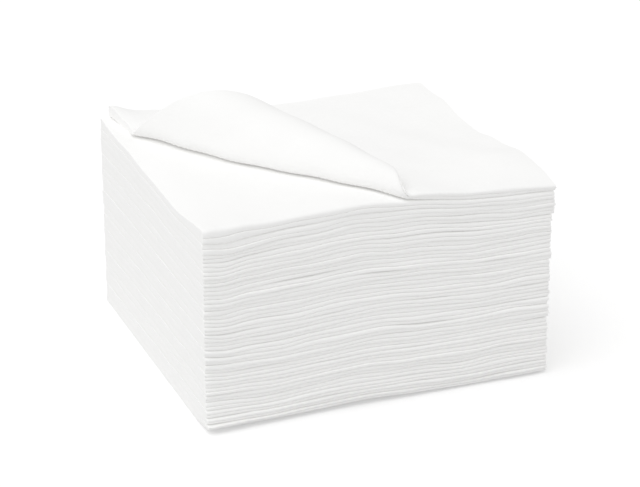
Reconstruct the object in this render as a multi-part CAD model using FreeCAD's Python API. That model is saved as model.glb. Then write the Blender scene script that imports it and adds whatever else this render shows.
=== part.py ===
import FreeCAD, Part
import math
import os

# A stack of quarter-folded paper napkins, the top one with a corner turned back.
# Millimetres. The stack stands on z = 0, centred on the z axis. The spines, which are
# the second folds, face -X. The first folds face -Y. The cut edges face +X and +Y.

# The folded napkin
NAPKIN_COUNT = 26
FOLDED_WIDTH = 125.0
FOLDED_DEPTH = 115.0
LAYER_THICKNESS = 0.60
LAYER_GAP = 0.07
NOSE_LENGTH = 0.64
NOSE_SLOPE = 0.30
SPINE_FLATS = 3

# The way the napkins lie on each other. Above its lowest napkins the stack swells.
# The drifts go to and fro by turns in radians, from one napkin to the next and at the first.
NAPKIN_GAP = 0.09
LEVEL_NAPKINS = 8
SWELL_POWER = 1.2
SIDE_DRIFT = 0.45
SIDE_TURNS = (2.4, 0.7)
DEPTH_DRIFT = 0.40
DEPTH_TURNS = (1.7, 2.0)
TOP_SHIFT = 0.6

# Swells of the top, measured from the near corner: middle along the front and along the
# spine, reach along both, height
SWELLS = (
    (2, 98, 38, 42, 4.2),
    (16, 39, 48, 52, 3.4),
    (61, 2, 40, 56, 4.7),
    (119, 23, 22, 17, 3.1),
    (129, 68, 25, 17, -2.2),
    (58, 123, 37, 23, -1.8),
)

# Where the swelling surfaces are bent, measured from the near corner
BENDS_ALONG_FRONT = (28.0, 70.0, 98.0)
BENDS_ALONG_SPINE = (23.0, 68.0)

# The corner of the top napkin that is turned back, measured on the folded napkin
TURN_ALONG_SPINE = 100.5
TURN_ALONG_FRONT = 72.0
FAN_CENTRE_PAST_FRONT = 26.0
FLAP_THICKNESS = 1.90
TURN_SEATS = (0.25, 0.75)
FLAP_TIP_WIDTH = 3.6
FLAP_TIP_CLEARANCE = 0.70
FLAP_ROOT_SEAT = 1.5
FLAP_STATIONS = 16
STATION_POWER = 1.15

# Direction of the turned-back spine edge in degrees, against its distance from the turn
# as a share of the corner's height: 0 runs outward to the turn, 90 is straight up and
# 180 runs back over the napkin.
BEND = ((0.0, 0), (0.18, 114), (0.28, 125), (0.60, 227), (0.90, 256), (1.0, 180))
BEND_STEPS = 200

# Sizes that follow
NAPKIN_THICKNESS = 4 * LAYER_THICKNESS + 3 * LAYER_GAP
PITCH = NAPKIN_THICKNESS + NAPKIN_GAP
LEFT = -FOLDED_WIDTH / 2
FRONT = -FOLDED_DEPTH / 2
GRID_X = (LEFT,) + tuple(LEFT + bend for bend in BENDS_ALONG_FRONT) + (LEFT + FOLDED_WIDTH,)
GRID_Y = (FRONT,) + tuple(FRONT + bend for bend in BENDS_ALONG_SPINE) + (FRONT + FOLDED_DEPTH,)
OUTER_DEPTH = NAPKIN_THICKNESS / 2
INNER_DEPTH = LAYER_GAP / 2
UP = FreeCAD.Vector(0, 0, 1)


def napkin_name(index):
    return "napkin_%02d" % (index + 1)


def drift(index):
    """Small sideways and lengthways offsets of a napkin in the stack."""
    side = SIDE_DRIFT * math.sin(SIDE_TURNS[0] * index + SIDE_TURNS[1])
    depth = DEPTH_DRIFT * math.sin(DEPTH_TURNS[0] * index + DEPTH_TURNS[1])
    if index == NAPKIN_COUNT - 1:
        side = TOP_SHIFT
    return side, depth


def swelling(x, y):
    """Height of the swells at a point of the grid, at the top of the stack."""
    total = 0.0
    for along_front, along_spine, reach_front, reach_spine, height in SWELLS:
        part_x = (x - LEFT - along_front) / reach_front
        part_y = (y - FRONT - along_spine) / reach_spine
        total += height * math.exp(-part_x ** 2 - part_y ** 2)
    return total


GRID_SWELLING = {(x, y): swelling(x, y) for x in GRID_X for y in GRID_Y}


def cell(value, grid):
    """Lower and upper line of the grid beside a value, and its share of the way between."""
    for low, high in zip(grid, grid[1:]):
        if value <= high:
            break
    return low, high, (value - low) / (high - low)


def swell_height(x, y):
    """Height of the swells anywhere, in straight lines between the grid's points."""
    left, right, part_x = cell(x, GRID_X)
    front, back, part_y = cell(y, GRID_Y)
    low = GRID_SWELLING[left, front] * (1 - part_x) + GRID_SWELLING[right, front] * part_x
    high = GRID_SWELLING[left, back] * (1 - part_x) + GRID_SWELLING[right, back] * part_x
    return low * (1 - part_y) + high * part_y


def swell_share(index):
    """How much of the swells shows in the boundary under a napkin: none low in the stack."""
    raised = max(0.0, (index - LEVEL_NAPKINS) / (NAPKIN_COUNT - LEVEL_NAPKINS))
    return raised ** SWELL_POWER


def height_in(index, x, y, share):
    """Height of a point in a napkin, at a share of its thickness from 0 below to 1."""
    swells = swell_share(index) * (1 - share) + swell_share(index + 1) * share
    return index * PITCH + NAPKIN_THICKNESS * share + swell_height(x, y) * swells


def spine_path(index, side, depth):
    """The way round the spine at one depth: x and height share, lower right to upper right."""
    centre = LEFT + side + OUTER_DEPTH
    run = [centre]
    if swell_share(index + 1) > 0.0:
        run += list(GRID_X[1:-1])
    run.append(LEFT + side + FOLDED_WIDTH)
    share = depth / NAPKIN_THICKNESS
    path = [(x, 0.5 - share) for x in reversed(run)]
    for turn in range(1, SPINE_FLATS):
        angle = math.pi * turn / SPINE_FLATS
        path.append((centre - depth * math.sin(angle), 0.5 - share * math.cos(angle)))
    return path + [(x, 0.5 + share) for x in run]


def fold_section(index, y_front, outer, inner, nose_length, nose_slope):
    """The way round the first fold: y and depth, from one back edge to the other."""
    centre = y_front + NOSE_LENGTH
    run = [centre]
    if swell_share(index + 1) > 0.0:
        run += list(GRID_Y[1:-1])
    run.append(y_front + FOLDED_DEPTH)
    section = [(y, outer) for y in reversed(run)]
    section.append((centre - nose_length, outer - nose_slope))
    section.append((centre - nose_length, inner + nose_slope))
    return section + [(y, inner) for y in run]


def skin(index, side, section):
    """Grid of points of one side of the folded sheet, a row for each step of the section."""
    rows = []
    for y, depth in section:
        path = spine_path(index, side, depth)
        rows.append([FreeCAD.Vector(x, y, height_in(index, x, y, share)) for x, share in path])
    return rows


def facets(corners):
    """One flat face over four corners, or two where they don't lie in a plane.

    The line between the two always rises in x and y together, so that one napkin's
    top and the next one's underside are bent alike."""
    first, second, third, fourth = corners
    normal = (second - first).cross(third - first).normalize()
    if abs(normal.dot(fourth - first)) < 1e-7:
        outlines = [corners]
    elif (third.x - first.x) * (third.y - first.y) > 0.0:
        outlines = [[first, second, third], [first, third, fourth]]
    else:
        outlines = [[first, second, fourth], [second, third, fourth]]
    return [Part.Face(Part.makePolygon(outline + outline[:1])) for outline in outlines]


def solid_within(faces):
    """Solid inside faces that close on each other."""
    solid = Part.Solid(Part.makeShell(faces))
    if solid.Volume < 0:
        solid.reverse()
    return solid


def closed_sheet(outside, inside):
    """Solid between two grids of points, the two sides of a sheet."""
    faces = []
    rows, columns = len(outside), len(outside[0])
    for grid in (outside, inside):
        for i in range(rows - 1):
            for j in range(columns - 1):
                faces += facets([grid[i][j], grid[i + 1][j], grid[i + 1][j + 1], grid[i][j + 1]])
    for i in range(rows - 1):
        for j in (0, columns - 1):
            faces += facets([outside[i][j], outside[i + 1][j], inside[i + 1][j], inside[i][j]])
    for j in range(columns - 1):
        for i in (0, rows - 1):
            faces += facets([outside[i][j], outside[i][j + 1], inside[i][j + 1], inside[i][j]])
    return solid_within(faces)


def folded_napkin(index):
    """A whole quarter-folded napkin: four layers, two first folds and one spine."""
    side, depth = drift(index)
    y_front = FRONT + depth
    hollow = LAYER_GAP / 2
    outside = fold_section(index, y_front, OUTER_DEPTH, INNER_DEPTH, NOSE_LENGTH, NOSE_SLOPE)
    inside = fold_section(
        index, y_front, OUTER_DEPTH - LAYER_THICKNESS, INNER_DEPTH + LAYER_THICKNESS,
        hollow, hollow / 2,
    )
    return closed_sheet(skin(index, side, outside), skin(index, side, inside))


def bend_angle(share):
    """Direction of the turned-back spine edge at a share of its length, in radians."""
    for (low, angle_low), (high, angle_high) in zip(BEND, BEND[1:]):
        if share <= high:
            break
    turned = (share - low) / (high - low)
    return math.radians(angle_low + (angle_high - angle_low) * turned)


def bend_line(length):
    """Reach over the napkin and rise above it, step by step along the bent section."""
    line = [(0.0, 0.0)]
    step = length / BEND_STEPS
    for count in range(BEND_STEPS):
        angle = bend_angle((count + 0.5) / BEND_STEPS)
        reach, rise = line[-1]
        line.append((reach - step * math.cos(angle), rise + step * math.sin(angle)))
    return line


class Turn:
    """The line about which the corner turns back.

    It is straight, and meets the middle of the top napkin's thickness at two seats."""

    def __init__(self, index):
        side, depth = drift(index)
        x, y = LEFT + side, FRONT + depth
        start = FreeCAD.Vector(x, y + TURN_ALONG_SPINE, 0)
        end = FreeCAD.Vector(x + TURN_ALONG_FRONT, y, 0)
        seats = [start + (end - start) * share for share in TURN_SEATS]
        levels = [height_in(index, seat.x, seat.y, 0.5) for seat in seats]
        slope = (levels[1] - levels[0]) / (TURN_SEATS[1] - TURN_SEATS[0])
        start.z = levels[0] - slope * TURN_SEATS[0]
        end.z = start.z + slope
        self.at_spine, self.at_front = start, end
        corner = FreeCAD.Vector(x, y, self.at_spine.z)
        self.along = (self.at_front - self.at_spine).normalize()
        self.over = UP.cross(self.along).normalize()
        self.rise = self.along.cross(self.over)
        self.height = self.over.dot(self.at_spine - corner)
        self.foot = self.along.dot(corner - self.at_spine)
        self.length = self.at_spine.distanceToPoint(self.at_front)
        self.fan_centre = self.at_front + self.along * FAN_CENTRE_PAST_FRONT


def flap_rulings(turn):
    """Straight lines of the turned-back corner, from its spine edge to its front edge.

    All of them run towards one centre past the front end of the turn, so the arch is a
    cone: tall at the spine edge and low at the front edge."""
    line = bend_line(turn.height)
    tip_rise = NAPKIN_THICKNESS / 2 + FLAP_THICKNESS / 2 + FLAP_TIP_CLEARANCE
    last = BEND_STEPS * (1.0 - FLAP_TIP_WIDTH / turn.length)
    past_foot = turn.length - turn.foot
    rulings = []
    for station in range(1, FLAP_STATIONS + 1):
        count = int(round(last * (station / FLAP_STATIONS) ** STATION_POWER))
        share = count / BEND_STEPS
        reach, rise = line[count]
        rise += (tip_rise - line[-1][1]) * share ** 3
        spine_end = turn.at_spine + turn.along * (turn.foot * share)
        spine_end += turn.over * reach + turn.rise * rise
        to_spine = turn.length + FAN_CENTRE_PAST_FRONT - turn.foot * share
        to_front = front_reach(turn, past_foot, to_spine, turn.height * share)
        front_end = turn.fan_centre + (spine_end - turn.fan_centre) * to_front
        rulings.append((spine_end, front_end, bend_angle(share)))
    return rulings


def front_reach(turn, past_foot, to_spine, spine_distance):
    """Where a ruling meets the front edge, as a share of its way out to the spine edge."""
    front_slope = turn.height / past_foot
    ruling_slope = spine_distance / to_spine
    to_front = front_slope * FAN_CENTRE_PAST_FRONT / (front_slope - ruling_slope)
    return to_front / to_spine


def flap_section(turn, ruling):
    """Outline of the corner's thickness along one ruling: a half-round spine, two noses."""
    spine_end, front_end, angle = ruling
    inward = (front_end - spine_end).normalize()
    outward = turn.over * -math.sin(angle) - turn.rise * math.cos(angle)
    half = FLAP_THICKNESS / 2
    nose = NOSE_SLOPE * FLAP_THICKNESS / NAPKIN_THICKNESS
    spine_centre = spine_end + inward * half
    points = [spine_centre + outward * half]
    for depth, level in (
        (NOSE_LENGTH, half), (0, half - nose), (0, nose), (NOSE_LENGTH, 0),
        (0, -nose), (0, nose - half), (NOSE_LENGTH, -half),
    ):
        points.append(front_end - inward * depth + outward * level)
    points.append(spine_centre - outward * half)
    for flat in range(1, SPINE_FLATS):
        angle = math.pi * flat / SPINE_FLATS
        points.append(spine_centre - (outward * math.cos(angle) + inward * math.sin(angle)) * half)
    return points


def flap(index):
    """The corner turned back in an open arch, its tip resting on the napkin."""
    turn = Turn(index)
    seat = turn.over * FLAP_ROOT_SEAT
    root = (turn.at_spine + seat, turn.at_front + seat, 0.0)
    sections = [flap_section(turn, ruling) for ruling in [root] + flap_rulings(turn)]
    ends = (sections[0], sections[-1])
    faces = [Part.Face(Part.makePolygon(end + end[:1])) for end in ends]
    for near, far in zip(sections, sections[1:]):
        for i in range(len(near)):
            faces += facets([near[i - 1], near[i], far[i], far[i - 1]])
    return solid_within(faces)


def corner_cutter(index):
    """Everything on the corner's side of the turn."""
    turn = Turn(index)
    start = turn.at_spine - turn.along * turn.length
    end = turn.at_front + turn.along * turn.length
    outward = turn.over * (-2 * turn.height)
    outline = Part.makePolygon([start, end, end + outward, start + outward, start])
    reach = 4 * PITCH
    block = Part.Face(outline).extrude(UP * (2 * reach))
    block.translate(UP * -reach)
    return block


def top_napkin(index):
    """The top napkin: flat beyond the turn, with its near corner turned back over it."""
    flat = folded_napkin(index).cut(corner_cutter(index))
    return flat.fuse(flap(index))


def main():
    os.makedirs("parts", exist_ok=True)
    for index in range(NAPKIN_COUNT):
        if index == NAPKIN_COUNT - 1:
            shape = top_napkin(index)
        else:
            shape = folded_napkin(index)
        shape.Solids[0].exportStep("parts/%s.step" % napkin_name(index))


main()
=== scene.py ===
import math

import bpy
import numpy as np
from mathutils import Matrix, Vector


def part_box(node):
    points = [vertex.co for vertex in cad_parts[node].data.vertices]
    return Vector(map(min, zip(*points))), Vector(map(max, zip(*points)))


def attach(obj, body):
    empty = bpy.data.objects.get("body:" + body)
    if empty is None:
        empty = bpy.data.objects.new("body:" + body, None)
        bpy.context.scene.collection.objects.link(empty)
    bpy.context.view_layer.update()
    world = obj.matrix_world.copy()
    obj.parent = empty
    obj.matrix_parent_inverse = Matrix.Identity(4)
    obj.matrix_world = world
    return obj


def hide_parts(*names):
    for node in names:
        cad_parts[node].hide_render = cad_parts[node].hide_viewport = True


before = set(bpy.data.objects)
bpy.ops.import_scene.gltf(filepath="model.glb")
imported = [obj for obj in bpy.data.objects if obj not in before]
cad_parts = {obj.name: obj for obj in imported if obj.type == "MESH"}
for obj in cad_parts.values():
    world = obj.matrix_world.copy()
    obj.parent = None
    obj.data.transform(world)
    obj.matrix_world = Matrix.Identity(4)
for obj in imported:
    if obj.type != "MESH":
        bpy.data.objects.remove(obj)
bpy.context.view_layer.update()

# A stack of quarter-folded paper napkins. Each napkin is one sheet with a thickness,
# folded in half towards the front and then in half towards the left, and every node of
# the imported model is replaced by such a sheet. All lengths are in metres, and those that
# are written times MM are in millimetres.

MM = 0.001

# The folded napkin
NAMES = sorted(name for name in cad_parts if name.startswith("napkin_"))
COUNT = len(NAMES)
TOP = COUNT - 1
WIDTH = 125.0 * MM
DEPTH = 115.0 * MM
LAYER = 0.60 * MM
LAYER_GAP = 0.07 * MM
NAPKIN_GAP = 0.02 * MM
THICKNESS = 4 * LAYER + 3 * LAYER_GAP
HALF = THICKNESS / 2

# Its folds. The reach is how far a fold stands out past its centre. The squareness is the
# power of its rounded section: 2 is half an ellipse, and more is blunter.
NOSE_REACH = 0.80 * MM
NOSE_SQUARENESS = 2.0
NOSE_SQUARENESS_INSIDE = 4.5
NOSE_SQUARENESS_OPENED = 12.0
SPINE_REACH = 0.22 * MM
SPINE_SQUARENESS = 6.0
CORNER_ROUNDING = 0.8 * MM

# Grid steps along the width and the depth, how they crowd towards the folds, and the
# steps round a spine and round a front fold
LOWER_GRID = (48, 22)
TOP_GRID = (130, 76)
WIDTH_CROWDING = 1.15
DEPTH_CROWDING = 1.5
SPINE_STEPS = 10
NOSE_STEPS = 8
SHARP_ANGLE = 50

# Places in the stack. The pitch is the step between the lowest two nodes, which lie flat.
# The drifts are the shares of a node's own shift that its folds and cut edges take.
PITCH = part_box(NAMES[1])[0].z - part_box(NAMES[0])[0].z
LEVELS = PITCH * np.arange(COUNT + 1)
LEFT = -WIDTH / 2
FRONT = -DEPTH / 2
SPINE_DRIFT = 0.10
FOLD_DRIFT = 0.45
CUT_DRIFT = 0.40
TOP_SHIFT = 1.2 * MM
CUT_SHIFTS = (0.9 * MM, 1.0 * MM, 0.7 * MM, 1.2 * MM)

# Swells of the stack, in millimetres: middle from the near corner along x and y, reach
# along x and y, height. Those of the crown are largest at the top and end at the napkins
# that lie level. The shoulder, the curl and the puff belong to the uppermost few, and the
# sways to the middle of the stack. A fade is the power by which a swell fades downwards.
CROWN = (
    ((2, 98), (38, 42), 4.2),
    ((16, 39), (48, 52), 3.4),
    ((61, 2), (40, 56), 4.7),
    ((119, 23), (22, 17), 3.1),
    ((129, 68), (25, 17), -2.2),
    ((58, 123), (37, 23), -1.8),
)
LEVEL_NAPKINS = 8
LEVEL_SHARE = LEVEL_NAPKINS / COUNT
CROWN_FADE = 1.2
EDGES = (
    ((8, 0), (5, 14), -0.9),
    ((0, 0), (4, 12), 0.8),
)
EDGE_FADE = 1.0
SHOULDER = (
    ((-1, 45), (5, 50), -1.4),
)
SHOULDER_FADE = 5.0
CURLS = (
    ((1, 114), (7, 7), 3.4),
)
CURL_FADE = 12.0
PUFF = (
    ((22, -3), (42, 18), 1.7),
    ((6, 0), (11, 16), 2.2),
)
PUFF_LOST = 0.7
PUFFED_NOSE = 0.5
SWAYS = (
    ((57, 0), (13, 34), 0.9),
    ((93, 0), (15, 34), -0.7),
    ((24, 0), (16, 34), -0.3),
)
SWAY_AT_FOOT = 0.5
SWAY_GROWTH = 2.0
SWAY_FADE = 1.2

# The lowest napkins' front edge stands off the floor, more at the near corner, where it
# also spreads forward. The fades are the shares that pass to the next napkin above.
FOOT_LIFT = 1.8 * MM
FOOT_LIFT_LOST = 0.5
FOOT_REACH = 14.0 * MM
FOOT_SHAPE = 1.2
FOOT_FADE = 0.45
FOOT_SPREAD = 2.4 * MM
FOOT_SPREAD_REACH = 26.0 * MM
FOOT_SPREAD_FADE = 0.5

# Ripple of the boundaries between napkins: height, what a boundary takes from the one
# below it, waves per metre along x and y, and over how many boundaries it sets in
SEED = 26
RIPPLE = 0.26 * MM
RIPPLE_KINSHIP = 0.72
RIPPLE_WAVES = ((11, 3), (17, -5), (29, 9), (41, 23), (7, 31), (-13, 47))
RIPPLE_SETS_IN = 3

# Random waves of each napkin: how far an edge wanders, and its waves per side. The middle
# wanders by a share of the thickness. The offsets let the layers' edges part.
WAVE_STEP = 0.83
WAVE_PHASE = 3
FOLD_WANDER, FOLD_WAVES = 0.30 * MM, 2.2
FOLD_STEP = 0.12 * MM
SPINE_WANDER, SPINE_WAVES = 0.04 * MM, 1.9
CUT_WANDER, BACK_WAVES, RIGHT_WAVES = 0.28 * MM, 1.3, 1.6
MIDDLE_WANDER, MIDDLE_WAVES = 0.08, 3.1
MIDDLE_SLANT = 0.4
LAYER_OFFSET = 0.1
SIDE_OFFSET = 0.37
PLY_OFFSET = 0.21
GAP_OPENING, GAP_WAVES = 0.30 * MM, 1.3
GAP_REACH = 6.0 * MM

# The turned-back corner of the top napkin, measured on the folded napkin. A bend is a
# list of shares of the turned length and of the paper's direction there in degrees, where
# 0 lies towards the corner and 180 away from it. The front's bend passes into the spine's
# between two shares of the way from the fan centre. The press is what is left of the
# thickness on the turned part, and the room is the share of the curl's radius that the
# layers inside it may take.
TURN_ALONG_SPINE = 96.5 * MM
TURN_ALONG_FRONT = 71.5 * MM
FAN_PAST_FRONT = 26.0 * MM
BEND_AT_SPINE = (
    (0.0, 0), (0.08, 104), (0.18, 112), (0.28, 125), (0.60, 227), (0.90, 256), (1.0, 180),
)
BEND_AT_FRONT = ((0.0, 0), (0.20, 114), (0.30, 125), (0.60, 227), (0.90, 256), (1.0, 180))
FRONT_TO_SPINE = (0.25, 0.75)
BEND_STEPS = 400
TIP_CLEARANCE = 0.15 * MM
TIP_EASE = 3
TURN_EASE = 3.0 * MM
FLAP_PRESS = 0.75
CURL_ROOM = 0.85
ALMOST_STRAIGHT = 0.01
PROBE = 0.4 * MM
DRAW_IN = 4.6 * MM
DRAW_IN_REACH = (25.0 * MM, 22.0 * MM)

# Paper: its surface and its cut edges. The glow is painted light: an even emission on the
# paper that stands in for light scattered through it and passed from layer to layer.
WHITE = (1, 1, 1, 1)
SURFACE = {
    "colour": (0.926, 0.926, 0.921, 1), "mottle": 0.02, "relief": 0.03 * MM, "roughness": 0.95,
}
CUT_EDGE = {
    "colour": (0.918, 0.914, 0.902, 1), "mottle": 0.04, "relief": 0.08 * MM, "roughness": 1.0,
}
PAPER_SHINE = 0.15
PAINTED_GLOW_COLOUR = (1.0, 0.985, 0.955, 1)
PAINTED_GLOW_STRENGTH = 0.07

# Paper grain: marks per metre of sheet, their detail, their stretch along the sheet's two
# directions, and their shares of the height. The mix node's colour sockets go by number.
CLOUDS_PER_METRE, CLOUD_DETAIL, CLOUD_SHARE = 120.0, 3.0, 0.8
FIBRES_PER_METRE, FIBRE_DETAIL, FIBRE_SHARE = 900.0, 4.0, 0.5
CLOUD_STRETCH = (1, 1, 1)
FIBRE_STRETCH = (1, 0.25, 1)
CROSS_FIBRE_STRETCH = (0.3, 1, 1)
DIMPLES_PER_METRE, DIMPLE_SHARE = 850.0, 0.7
MEAN_CLOUD = 0.5
MIX_FIRST, MIX_SECOND, MIX_RESULT = 6, 7, 2

# Floor and light. The lift is how much brighter the camera sees the floor than the stack
# does, so that the floor is white but keeps the shadow.
FLOOR_HALF = 3.0
FLOOR_COLOUR = (0.80, 0.80, 0.80, 1)
FLOOR_LIFT = 0.30
AMBIENT = 0.66
KEY_DIRECTION = (0.45, 0.13, -0.885)
KEY_STRENGTH = 1.05
KEY_SPREAD = 60

# Camera, from the corners of the stack in the photograph: angles in degrees, lens and
# sensor in millimetres
CAMERA_YAW = 21.4
CAMERA_PITCH = 22.9
CAMERA_DISTANCE = 6.65 * WIDTH
CAMERA_AIM = (0.0, 0.0, 0.3 * WIDTH)
CAMERA_SHIFT_RIGHT = 0.003 * WIDTH
CAMERA_SHIFT_UP = -0.009 * WIDTH
LENS = 131.6
SENSOR = 36.0


def swell(x, y, middle, reach):
    """A round hump, 1 at its middle: e to the power of minus the squared distance, which
    is measured in the hump's own reach along x and y."""
    along = (x - LEFT - middle[0] * MM) / (reach[0] * MM)
    across = (y - FRONT - middle[1] * MM) / (reach[1] * MM)
    return np.exp(-along ** 2 - across ** 2)


def swells(x, y, humps):
    """The sum of some humps, each times its height."""
    return sum(height * MM * swell(x, y, middle, reach) for middle, reach, height in humps)


class Unevenness:
    """Random numbers that each napkin has for itself, drawn once in a fixed order."""

    def __init__(self, seed):
        rng = np.random.default_rng(seed)
        self.ripple = self.related(rng, COUNT + 1, 2 * len(RIPPLE_WAVES))
        self.fold = rng.normal(size=(COUNT, 6))
        self.spine = rng.normal(size=(COUNT, 6))
        self.cut = rng.normal(size=(COUNT, 8))
        self.middle = rng.normal(size=(COUNT, 6))
        self.step = rng.normal(size=COUNT)
        self.gap = rng.normal(size=(COUNT + 1, 6))

    @staticmethod
    def related(rng, rows, columns):
        """Random numbers in which each row takes a share of the row below it, and as much
        of its own as keeps the spread the same."""
        fresh = rng.normal(size=(rows, columns))
        keep = math.sqrt(1 - RIPPLE_KINSHIP ** 2)
        for row in range(1, rows):
            fresh[row] = RIPPLE_KINSHIP * fresh[row - 1] + keep * fresh[row]
        return fresh


UNEVEN = Unevenness(SEED)


def wave(numbers, along, cycles):
    """The mean of three sines over a length of 1, each with more cycles than the one before
    it. The numbers are, in turn, a sine's strength and its phase."""
    total = 0.0
    for turn in range(3):
        phase = 2 * math.pi * cycles * (1 + WAVE_STEP * turn) * along
        total = total + numbers[2 * turn] * np.sin(phase + WAVE_PHASE * numbers[2 * turn + 1])
    return total / 3


def ripple_height(index, x, y):
    """Ripple of one boundary: a sum of plane waves, each a random share of a cosine and of
    a sine, over the root of their number. It sets in over the lowest boundaries."""
    total = 0.0
    for number, (along, across) in enumerate(RIPPLE_WAVES):
        phase = 2 * math.pi * (along * x + across * y)
        cosine, sine = UNEVEN.ripple[index, 2 * number:2 * number + 2]
        total = total + cosine * np.cos(phase) + sine * np.sin(phase)
    return RIPPLE * total / math.sqrt(len(RIPPLE_WAVES)) * min(1.0, index / RIPPLE_SETS_IN)


def foot_height(x, y):
    """How far the lowest front edge stands off the floor: most at the edge itself and at the
    near corner, less behind it and in a straight line less to the right."""
    behind = np.clip(1 - (y - FRONT) / FOOT_REACH, 0, None)
    lost = FOOT_LIFT_LOST * (x - LEFT) / WIDTH
    return FOOT_LIFT * (1 - lost) * behind ** FOOT_SHAPE


def foot_spread(index, distance):
    """How far a low napkin's front edge spreads forward: e to the power of minus the squared
    distance from the near corner, times a share for each napkin below it."""
    return FOOT_SPREAD * FOOT_SPREAD_FADE ** index * np.exp(-(distance / FOOT_SPREAD_REACH) ** 2)


def opened(index):
    """How freely the boundary under a napkin opens: 1 at the uppermost two boundaries, and
    less by a fixed loss for each one below them, down to 0. A napkin opens as the boundary
    above it does."""
    return min(1.0, max(0.0, 1 - PUFF_LOST * (TOP - index)))


def boundary(index, x, y):
    """Height of the boundary under napkin number index: its level in the stack, plus the
    crown, edges, shoulder and curl, which fade downwards by a power of its share of the
    way up, plus the puff of the top, plus the sways, which fade both ways, plus the lifted
    foot and its own ripple. It never dips into the floor."""
    share = index / COUNT
    raised = max(0.0, (share - LEVEL_SHARE) / (1 - LEVEL_SHARE))
    swaying = (SWAY_AT_FOOT + SWAY_GROWTH * share) * (1 - share) ** SWAY_FADE
    height = LEVELS[index] + swells(x, y, CROWN) * raised ** CROWN_FADE
    height = height + swells(x, y, EDGES) * share ** EDGE_FADE
    height = height + swells(x, y, SHOULDER) * share ** SHOULDER_FADE
    height = height + swells(x, y, CURLS) * share ** CURL_FADE
    height = height + swells(x, y, PUFF) * opened(index)
    height = height + swells(x, y, SWAYS) * swaying
    height = height + foot_height(x, y) * FOOT_FADE ** index
    return np.maximum(0.0, height + ripple_height(index, x, y))


def half_gap(index, x, y):
    """Half the gap at a boundary. Near the front it opens where a random wave is above 0,
    in a straight line less behind the front."""
    behind = np.clip(1 - (y - FRONT) / GAP_REACH, 0, None)
    opening = np.maximum(0, wave(UNEVEN.gap[index], x / WIDTH, GAP_WAVES))
    return (NAPKIN_GAP + GAP_OPENING * opening * behind) / 2


def crowded(count, power):
    """Numbers from 0 to 1, packed towards 0: the share to a power."""
    return np.linspace(0, 1, count + 1) ** power


def half_turn(steps):
    """The angles of a half turn from -90 to 90 degrees, without its two ends."""
    return np.linspace(-math.pi / 2, math.pi / 2, steps + 1)[1:-1]


def rounded(angle, squareness):
    """A rounded half section: outwards the cosine and upwards the sine of the angle, each
    to the power of 2 over the squareness and with its own sign."""
    power = 2 / squareness
    outward = np.abs(np.cos(angle)) ** power
    upward = np.sign(angle) * np.abs(np.sin(angle)) ** power
    return outward, upward


def spine_path(columns):
    """The way round the spine, from the lower right end to the upper right end.

    Returns the share of the run from the spine's centre to the cut edge, the outward part
    of the half turn, and the side, from -1 for the lower half to 1 for the upper."""
    run = crowded(columns, WIDTH_CROWDING)
    outward, upward = rounded(half_turn(SPINE_STEPS), SPINE_SQUARENESS)
    ends = np.zeros(len(run))
    along = np.concatenate([run[::-1], np.zeros(len(outward)), run])
    out = np.concatenate([ends, outward, ends])
    side = np.concatenate([ends - 1, upward, ends + 1])
    return along, out, side


def fold_section(rows, inside_squareness):
    """The section across the first fold: two plies joined by a nose at the front.

    Returns, for the outside and the inside of the sheet, the share of the run from the
    nose's centre to the back edge, the part of the nose's reach, and the depth from the
    napkin's middle. Both have the same number of points. The nose is blunter on the side
    of the napkin's middle, where the other nose lies against it."""
    run = crowded(rows, DEPTH_CROWDING)
    angle = half_turn(NOSE_STEPS)[::-1]
    flat = np.zeros(len(run))
    squareness = np.where(angle > 0, NOSE_SQUARENESS, inside_squareness)
    outward, upward = rounded(angle, squareness)
    along = np.concatenate([run[::-1], np.zeros(len(angle)), run])
    forward = np.concatenate([flat, outward, flat])
    height = np.concatenate([flat + 1, upward, flat - 1])
    centre = (HALF + LAYER_GAP / 2) / 2
    outside = (HALF - LAYER_GAP / 2) / 2
    inside = LAYER_GAP / 2
    outer = (along, forward, centre + outside * height)
    inner = (along, forward * inside / outside, centre + inside * height)
    return outer, inner


def side_ends(index):
    """Where a napkin's spine and its right cut edges are: the stack's own sides plus a share
    of the node's shift. The uppermost few are pushed to the right at their cut edges, and
    the top napkin also at its spine."""
    low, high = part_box(NAMES[index])
    left = LEFT + SPINE_DRIFT * (low.x - LEFT)
    right = LEFT + WIDTH + CUT_DRIFT * (high.x - LEFT - WIDTH)
    from_top = TOP - index
    if from_top < len(CUT_SHIFTS):
        right = LEFT + WIDTH + CUT_SHIFTS[-1 - from_top]
    if index == TOP:
        left = LEFT + TOP_SHIFT
    return left, right


def front_end(index):
    """Where a napkin's front folds are: the stack's front plus a share of the node's shift."""
    return FRONT + FOLD_DRIFT * (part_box(NAMES[index])[0].y - FRONT)


def corner_rounding(distance):
    """How far the front edge stands back near the spine, so that the corner is round: the
    radius minus the root of its square less the square of what is left to the side."""
    gap = np.clip(CORNER_ROUNDING - distance, 0, CORNER_ROUNDING)
    return CORNER_ROUNDING - np.sqrt(CORNER_ROUNDING ** 2 - gap ** 2)


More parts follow.
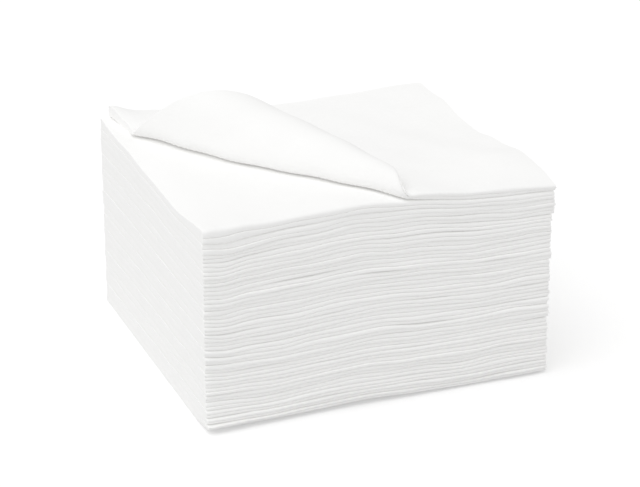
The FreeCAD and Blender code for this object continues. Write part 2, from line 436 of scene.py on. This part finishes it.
def skin(index, path, section):
    """One side of a folded napkin's sheet, as a grid of points: x and y in the plane and
    the share of the napkin's thickness, 0 below and 1 above.

    A point's depth in the section sets how far it is from the middle, and it is carried
    round the spine at that depth: x is the spine's centre minus the depth times the
    outward part, and the share is a half plus the depth times the side. Every edge
    wanders by its own random wave, and the layers part by the offsets in that wave."""
    low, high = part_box(NAMES[index])
    along, out, side = (value[:, None] for value in path)
    back, forward, depth = (value[None, :] for value in section)
    ply = np.sign(depth - HALF / 2)
    on_sheet = side * (LAYER_OFFSET + along) / 2

    front = front_end(index) + FOLD_WANDER * wave(UNEVEN.fold[index], on_sheet, FOLD_WAVES)
    front = front + FOLD_STEP * side * UNEVEN.step[index]
    reach = NOSE_REACH * (1 + PUFFED_NOSE * opened(index + 1))
    y_centre = front + reach
    y_back = high.y + CUT_WANDER * wave(UNEVEN.cut[index], on_sheet + ply, BACK_WAVES)
    y = y_centre + (y_back - y_centre) * back - reach * forward

    y_share = (y - low.y) / DEPTH
    left, right = side_ends(index)
    left = left + SPINE_WANDER * wave(UNEVEN.spine[index], y_share, SPINE_WAVES)
    x_centre = left + SPINE_REACH
    on_cut = y_share + SIDE_OFFSET * side + PLY_OFFSET * ply
    x_right = right + CUT_WANDER * wave(UNEVEN.cut[index, 1:], on_cut, RIGHT_WAVES)
    x = x_centre + (x_right - x_centre) * along - SPINE_REACH * depth / HALF * out
    y = y + (corner_rounding(x - left) - foot_spread(index, x - left)) * (1 - back)

    share = 0.5 + side * depth / THICKNESS
    slanted = x / WIDTH + MIDDLE_SLANT * y / DEPTH
    wander = MIDDLE_WANDER * wave(UNEVEN.middle[index], slanted, MIDDLE_WAVES)
    share = share + wander * 4 * share * (1 - share)
    return x, y, share


def lie_flat(index, x, y, share):
    """Puts a napkin's points between its two boundaries, at their share of the way up."""
    lower = boundary(index, x, y) + half_gap(index, x, y)
    upper = boundary(index + 1, x, y) - half_gap(index + 1, x, y)
    return np.stack([x, y, lower + (upper - lower) * share], axis=-1)


def bend_line(bend, length):
    """A bent section of the turned-back corner: shares of its length, its reach over the
    napkin and its rise above it, as running sums of small steps in the bend's direction.
    The rise is then eased by a power of the share, so that the tip lies on the napkin."""
    share = (np.arange(BEND_STEPS) + 0.5) / BEND_STEPS
    angle = np.radians(np.interp(share, *np.array(bend, float).T))
    step = length / BEND_STEPS
    reach = np.concatenate([[0], -step * np.cumsum(np.cos(angle))])
    rise = np.concatenate([[0], step * np.cumsum(np.sin(angle))])
    tip = HALF + HALF * FLAP_PRESS + TIP_CLEARANCE
    shares = np.linspace(0, 1, BEND_STEPS + 1)
    return shares, reach, rise + (tip - rise[-1]) * shares ** TIP_EASE


def curl_radius(bend, length):
    """Radius of a bend between its listed shares: length over the angle that it turns by.
    It is endless where the paper turns the other way."""
    shares, angles = np.array(bend, float).T
    turning = np.diff(np.radians(angles)) / np.diff(shares)
    radius = length / np.where(turning > 0, turning, ALMOST_STRAIGHT)
    return (shares[1:] + shares[:-1]) / 2, radius


def blended(tables, row, part, near_spine):
    """A row of the front's and the spine's table, read at a part of the bend: the front's
    value plus its difference from the spine's, times the nearness to the spine."""
    at_front, at_spine = (np.interp(part, table[0], table[row]) for table in tables)
    return at_front + (at_spine - at_front) * near_spine


class TurnedCorner:
    """The open cone that the near corner of a napkin is turned back into.

    Straight lines run from a fan centre, which lies on the line of the turn past its front
    end, to the spine's edge. A point of the flat sheet is given by a, its distance along
    the turn from the spine, and b, its distance past the turn towards the corner."""

    def __init__(self, index):
        self.corner = np.array([side_ends(index)[0], front_end(index)])
        self.at_spine = self.corner + (0, TURN_ALONG_SPINE)
        at_front = self.corner + (TURN_ALONG_FRONT, 0)
        length = np.linalg.norm(at_front - self.at_spine)
        self.along = (at_front - self.at_spine) / length
        self.over = np.array([-self.along[1], self.along[0]])
        self.height = self.over @ (self.at_spine - self.corner)
        self.foot = self.along @ (self.corner - self.at_spine)
        self.far = length + FAN_PAST_FRONT
        bends = (BEND_AT_FRONT, BEND_AT_SPINE)
        self.lines = [bend_line(bend, self.height) for bend in bends]
        self.curls = [curl_radius(bend, self.height) for bend in bends]

    def measured(self, x, y):
        """A point's distances a and b, by its products with the two directions."""
        from_spine, from_turn = x - self.at_spine[0], y - self.at_spine[1]
        a = from_spine * self.along[0] + from_turn * self.along[1]
        b = -(from_spine * self.over[0] + from_turn * self.over[1])
        return a, b

    def bent(self, a, b):
        """Where the sheet's middle comes to lie, from the napkin's middle up, and the room
        inside the curl there.

        The part is the share of the turned edge at which the point's line ends, and the
        ratio is the point's share of its line from the fan centre. The line's end follows
        the bent section, tight at the spine and wide at the front, and the point keeps its
        ratio along the line."""
        b = np.maximum(b, 0)
        part = b * self.far / (self.height * (self.far - a) + b * self.foot)
        ratio = (self.far - a) / (self.far - self.foot * part)
        begins, ends = FRONT_TO_SPINE
        near_spine = np.clip((ratio - begins) / (ends - begins), 0, 1)
        end_over = blended(self.lines, 1, part, near_spine)
        end_rise = blended(self.lines, 2, part, near_spine)
        along_turn = self.far + (self.foot * part - self.far) * ratio
        x = self.at_spine[0] + self.along[0] * along_turn + self.over[0] * end_over * ratio
        y = self.at_spine[1] + self.along[1] * along_turn + self.over[1] * end_over * ratio
        room = CURL_ROOM * blended(self.curls, 1, part, near_spine) * ratio
        return np.stack([x, y, end_rise * ratio], axis=-1), room

    def square(self, a, b):
        """The direction square to the cone: the cross product of a small step across the
        bend and one along the turn, over its own length."""
        across = self.bent(a, np.maximum(b, 0) + PROBE)[0]
        across = across - self.bent(a, np.maximum(b, PROBE) - PROBE)[0]
        lengthways = self.bent(a + PROBE, b)[0] - self.bent(a - PROBE, b)[0]
        direction = np.cross(across, lengthways)
        length = np.linalg.norm(direction, axis=-1, keepdims=True)
        return direction / np.where(length > 0, length, 1)


def turn_back(index, x, y, share):
    """Lies a napkin flat and turns its near corner back over it in an open arch.

    The sheet's middle follows the cone over the napkin's own middle, and its thickness
    stands square to the cone. The turned part is pressed thinner, by a smooth step of the
    distance from the turn, and inside the curl it keeps within the curl's radius. The
    spine beside the turn is drawn in by e to the power of minus the squared distance."""
    cone = TurnedCorner(index)
    a, b = cone.measured(x, y)
    place, room = cone.bent(a, b)
    ease = np.clip(1 + b / TURN_EASE, 0, 1)
    press = 1 + (FLAP_PRESS - 1) * ease ** 2 * (3 - 2 * ease)
    level = np.minimum((share - 0.5) * THICKNESS * press, room + np.maximum(-b, 0))
    below = boundary(index, place[..., 0], place[..., 1])
    above = boundary(index + 1, place[..., 0], place[..., 1])
    place[..., 2] += (below + above) / 2
    turned = place + cone.square(a, b) * level[..., None]
    flat = lie_flat(index, x, y, 0.5 + level / THICKNESS)
    placed = np.where((b > 0)[..., None], turned, flat)
    from_spine = (placed[..., 0] - cone.corner[0]) / DRAW_IN_REACH[0]
    from_turn = (placed[..., 1] - cone.at_spine[1]) / DRAW_IN_REACH[1]
    placed[..., 0] += DRAW_IN * np.exp(-from_spine ** 2 - from_turn ** 2)
    return placed


def grid_faces(columns, rows, first, flip):
    """Quads of a grid of points stored column by column: a point's number is the first
    number plus its column times the rows, plus its row."""
    corner = first + np.arange(columns - 1)[:, None] * rows + np.arange(rows - 1)[None, :]
    quads = np.stack([corner, corner + rows, corner + rows + 1, corner + 1], axis=-1)
    quads = quads.reshape(-1, 4)
    return quads[:, ::-1] if flip else quads


def rim_faces(columns, rows):
    """Quads that join the two sides of a sheet all round its edge: each edge point, the
    next one, and the same two on the other side."""
    number = np.arange(columns * rows).reshape(columns, rows)
    loop = np.concatenate([number[:-1, 0], number[-1, :-1], number[:0:-1, -1], number[0, :0:-1]])
    after = np.roll(loop, -1)
    other = columns * rows
    return np.stack([after, loop, loop + other, after + other], axis=-1)


def sheet_mesh(name, outer, inner, flat_place, materials):
    """A closed sheet from two grids of points, its sides, with a rim between them. The
    sides take the first material and the rim the second."""
    columns, rows = outer.shape[:2]
    sides = np.concatenate([
        grid_faces(columns, rows, 0, False),
        grid_faces(columns, rows, columns * rows, True),
    ])
    faces = np.concatenate([sides, rim_faces(columns, rows)])
    points = np.concatenate([outer.reshape(-1, 3), inner.reshape(-1, 3)])
    mesh = bpy.data.meshes.new(name)
    mesh.vertices.add(len(points))
    mesh.vertices.foreach_set("co", points.astype(np.float32).ravel())
    mesh.loops.add(faces.size)
    mesh.loops.foreach_set("vertex_index", faces.astype(np.int32).ravel())
    mesh.polygons.add(len(faces))
    mesh.polygons.foreach_set("loop_start", np.arange(0, faces.size, 4, dtype=np.int32))
    mesh.update(calc_edges=True)
    mesh.validate()
    places = np.concatenate([flat_place.reshape(-1, 2)] * 2)
    uv = mesh.uv_layers.new(name="flat_sheet")
    uv.data.foreach_set("uv", places[faces.ravel()].astype(np.float32).ravel())
    for material in materials:
        mesh.materials.append(material)
    kinds = np.zeros(len(faces), np.int32)
    kinds[len(sides):] = 1
    mesh.polygons.foreach_set("material_index", kinds)
    mesh.shade_smooth()
    mesh.set_sharp_from_angle(angle=math.radians(SHARP_ANGLE))
    mesh.update()
    return mesh


def flat_sheet_places(path, section):
    """Where each point lies on the unfolded sheet, in metres from its middle: its run along
    each direction with the sign of its side, plus its part of the fold's reach."""
    along, out, side = path
    back, forward, depth = section
    across = np.sign(side) * along * WIDTH + side * (1 - along) * SPINE_REACH
    turn = np.linspace(1, -1, len(depth))
    lengthways = np.sign(turn) * back * DEPTH + turn * NOSE_REACH
    return np.stack(np.meshgrid(across, lengthways, indexing="ij"), axis=-1)


def napkin(index, materials, grid, place):
    """One folded napkin, laid in the stack by the place function, standing for its node.
    The fold sections are carried along the way round the spine."""
    columns, rows = grid
    path = spine_path(columns)
    squareness = NOSE_SQUARENESS_OPENED if opened(index + 1) > 0 else NOSE_SQUARENESS_INSIDE
    outside, inside = fold_section(rows, squareness)
    outer = place(index, *skin(index, path, outside))
    inner = place(index, *skin(index, path, inside))
    name = "folded_" + NAMES[index]
    mesh = sheet_mesh(name, outer, inner, flat_sheet_places(path, outside), materials)
    piece = bpy.data.objects.new(name, mesh)
    bpy.context.scene.collection.objects.link(piece)
    return piece


def build_stack(materials):
    """All the napkins, from the lowest up. Each rests on the one before it, and only the
    top one has its corner turned back."""
    for index in range(COUNT):
        if index == TOP:
            piece = napkin(index, materials, TOP_GRID, turn_back)
        else:
            piece = napkin(index, materials, LOWER_GRID, lie_flat)
        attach(piece, "root")
        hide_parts(NAMES[index])


def new_group(name, inputs, outputs):
    """An empty shader node group with named sockets, each given by title, kind and, for an
    input, its first value."""
    group = bpy.data.node_groups.new(name, "ShaderNodeTree")
    for title, kind, value in inputs:
        socket = group.interface.new_socket(title, in_out="INPUT", socket_type=kind)
        if value is not None:
            socket.default_value = value
    for title, kind in outputs:
        group.interface.new_socket(title, in_out="OUTPUT", socket_type=kind)
    return group, group.nodes.new("NodeGroupInput"), group.nodes.new("NodeGroupOutput")


def paper_grain_group():
    """Soft napkin paper: cloudy formation, short fibres both ways and fine dimples.

    Height is the sum of the three, each times its share. Tone is the paper's colour times
    1 plus the mottle times the cloud's difference from its mean."""
    group, given, made = new_group(
        "paper_grain",
        [("Place", "NodeSocketVector", None), ("Paper", "NodeSocketColor", WHITE),
         ("Mottle", "NodeSocketFloat", SURFACE["mottle"])],
        [("Tone", "NodeSocketColor"), ("Height", "NodeSocketFloat")],
    )
    nodes, links = group.nodes, group.links

    def noise(scale, detail, stretch):
        mapping = nodes.new("ShaderNodeMapping")
        mapping.inputs["Scale"].default_value = stretch
        texture = nodes.new("ShaderNodeTexNoise")
        texture.inputs["Scale"].default_value = scale
        texture.inputs["Detail"].default_value = detail
        links.new(given.outputs["Place"], mapping.inputs["Vector"])
        links.new(mapping.outputs["Vector"], texture.inputs["Vector"])
        return texture.outputs["Fac"]

    def worked_out(operation, first, second):
        node = nodes.new("ShaderNodeMath")
        node.operation = operation
        for socket, value in zip(node.inputs, (first, second)):
            if isinstance(value, float):
                socket.default_value = value
            else:
                links.new(value, socket)
        return node.outputs[0]

    cloud = noise(CLOUDS_PER_METRE, CLOUD_DETAIL, CLOUD_STRETCH)
    fibres = noise(FIBRES_PER_METRE, FIBRE_DETAIL, FIBRE_STRETCH)
    cross_fibres = noise(FIBRES_PER_METRE, FIBRE_DETAIL, CROSS_FIBRE_STRETCH)
    dimples = nodes.new("ShaderNodeTexVoronoi")
    dimples.inputs["Scale"].default_value = DIMPLES_PER_METRE
    links.new(given.outputs["Place"], dimples.inputs["Vector"])
    height = worked_out("MULTIPLY", worked_out("ADD", fibres, cross_fibres), FIBRE_SHARE)
    height = worked_out("ADD", height, worked_out("MULTIPLY", cloud, CLOUD_SHARE))
    pits = worked_out("MULTIPLY", dimples.outputs["Distance"], DIMPLE_SHARE)
    links.new(worked_out("ADD", height, pits), made.inputs["Height"])

    thin = worked_out("SUBTRACT", cloud, MEAN_CLOUD)
    lit = worked_out("ADD", 1.0, worked_out("MULTIPLY", thin, given.outputs["Mottle"]))
    tint = nodes.new("ShaderNodeMix")
    tint.data_type = "RGBA"
    tint.blend_type = "MULTIPLY"
    tint.inputs["Factor"].default_value = 1.0
    links.new(given.outputs["Paper"], tint.inputs[MIX_FIRST])
    links.new(lit, tint.inputs[MIX_SECOND])
    links.new(tint.outputs[MIX_RESULT], made.inputs["Tone"])
    return group


def paper_material(name, grain, colour, mottle, relief, roughness):
    """Matte white paper whose grain follows the unfolded sheet. The relief is the height of
    the grain in metres."""
    material = bpy.data.materials.new(name)
    material.use_nodes = True
    nodes, links = material.node_tree.nodes, material.node_tree.links
    shader = nodes["Principled BSDF"]
    shader.inputs["Roughness"].default_value = roughness
    shader.inputs["Specular IOR Level"].default_value = PAPER_SHINE
    # Painted glow: an even emission on all the paper, standing in for light scattered through it
    # and between its layers; it lightens the creases and grooves.
    shader.inputs["Emission Color"].default_value = PAINTED_GLOW_COLOUR
    shader.inputs["Emission Strength"].default_value = PAINTED_GLOW_STRENGTH
    place = nodes.new("ShaderNodeUVMap")
    place.uv_map = "flat_sheet"
    group = nodes.new("ShaderNodeGroup")
    group.node_tree = grain
    group.inputs["Paper"].default_value = colour
    group.inputs["Mottle"].default_value = mottle
    bump = nodes.new("ShaderNodeBump")
    bump.inputs["Strength"].default_value = 1.0
    bump.inputs["Distance"].default_value = relief
    links.new(place.outputs["UV"], group.inputs["Place"])
    links.new(group.outputs["Tone"], shader.inputs["Base Color"])
    links.new(group.outputs["Height"], bump.inputs["Height"])
    links.new(bump.outputs["Normal"], shader.inputs["Normal"])
    return material


def lay_floor():
    """A plain pale floor that the camera sees as white, apart from the stack's shadow."""
    low, high = -FLOOR_HALF, FLOOR_HALF
    corners = [(low, low, 0), (high, low, 0), (high, high, 0), (low, high, 0)]
    mesh = bpy.data.meshes.new("floor")
    mesh.from_pydata(corners, [], [(0, 1, 2, 3)])
    floor = bpy.data.objects.new("floor", mesh)
    bpy.context.scene.collection.objects.link(floor)
    material = bpy.data.materials.new("pale_floor")
    material.use_nodes = True
    nodes, links = material.node_tree.nodes, material.node_tree.links
    shader = nodes["Principled BSDF"]
    shader.inputs["Base Color"].default_value = FLOOR_COLOUR
    shader.inputs["Roughness"].default_value = 1.0
    shader.inputs["Specular IOR Level"].default_value = 0.0
    shader.inputs["Emission Color"].default_value = WHITE
    path = nodes.new("ShaderNodeLightPath")
    lift = nodes.new("ShaderNodeMath")
    lift.operation = "MULTIPLY"
    lift.inputs[1].default_value = FLOOR_LIFT
    links.new(path.outputs["Is Camera Ray"], lift.inputs[0])
    links.new(lift.outputs[0], shader.inputs["Emission Strength"])
    mesh.materials.append(material)


def studio_world(ambient):
    """Even white light all round; the camera sees it as plain white."""
    world = bpy.data.worlds.new("studio")
    world.use_nodes = True
    nodes, links = world.node_tree.nodes, world.node_tree.links
    background = nodes["Background"]
    background.inputs["Color"].default_value = WHITE
    path = nodes.new("ShaderNodeLightPath")
    seen = nodes.new("ShaderNodeMapRange")
    seen.inputs["To Min"].default_value = ambient
    seen.inputs["To Max"].default_value = 1.0
    links.new(path.outputs["Is Camera Ray"], seen.inputs["Value"])
    links.new(seen.outputs["Result"], background.inputs["Strength"])
    bpy.context.scene.world = world


def soft_lamp(name, direction, strength, spread):
    """A broad soft lamp that shines along a direction: it is tipped from straight down by
    the angle of the flat part to the drop, and turned towards the flat part."""
    lamp = bpy.data.lights.new(name, "SUN")
    lamp.energy = strength
    lamp.angle = math.radians(spread)
    across, along, upward = direction
    tip = math.atan2(math.hypot(across, along), -upward)
    piece = bpy.data.objects.new(name, lamp)
    piece.rotation_euler = (tip, 0, math.atan2(-across, along))
    bpy.context.scene.collection.objects.link(piece)


def photo_camera():
    """The camera at the photograph's viewing angle: it stands back from its aim by the
    distance, against the direction that the yaw and the pitch give, plus two shifts."""
    yaw, pitch = math.radians(CAMERA_YAW), math.radians(CAMERA_PITCH)
    level = math.cos(pitch)
    ahead = np.array([math.sin(yaw) * level, math.cos(yaw) * level, -math.sin(pitch)])
    right = np.array([math.cos(yaw), -math.sin(yaw), 0.0])
    up = np.cross(right, ahead)
    place = np.array(CAMERA_AIM) - ahead * CAMERA_DISTANCE
    place = place + right * CAMERA_SHIFT_RIGHT + up * CAMERA_SHIFT_UP
    data = bpy.data.cameras.new("camera")
    data.lens = LENS
    data.sensor_width = SENSOR
    camera = bpy.data.objects.new("camera", data)
    camera.location = place
    camera.rotation_euler = (math.pi / 2 - pitch, 0, -yaw)
    bpy.context.scene.collection.objects.link(camera)
    bpy.context.scene.camera = camera


grain = paper_grain_group()
paper = paper_material("napkin_paper", grain, **SURFACE)
cut_edge = paper_material("napkin_cut_edge", grain, **CUT_EDGE)
photo_camera()
studio_world(AMBIENT)
soft_lamp("key", KEY_DIRECTION, KEY_STRENGTH, KEY_SPREAD)
lay_floor()
build_stack([paper, cut_edge])

bpy.context.scene.view_settings.view_transform = "Standard"
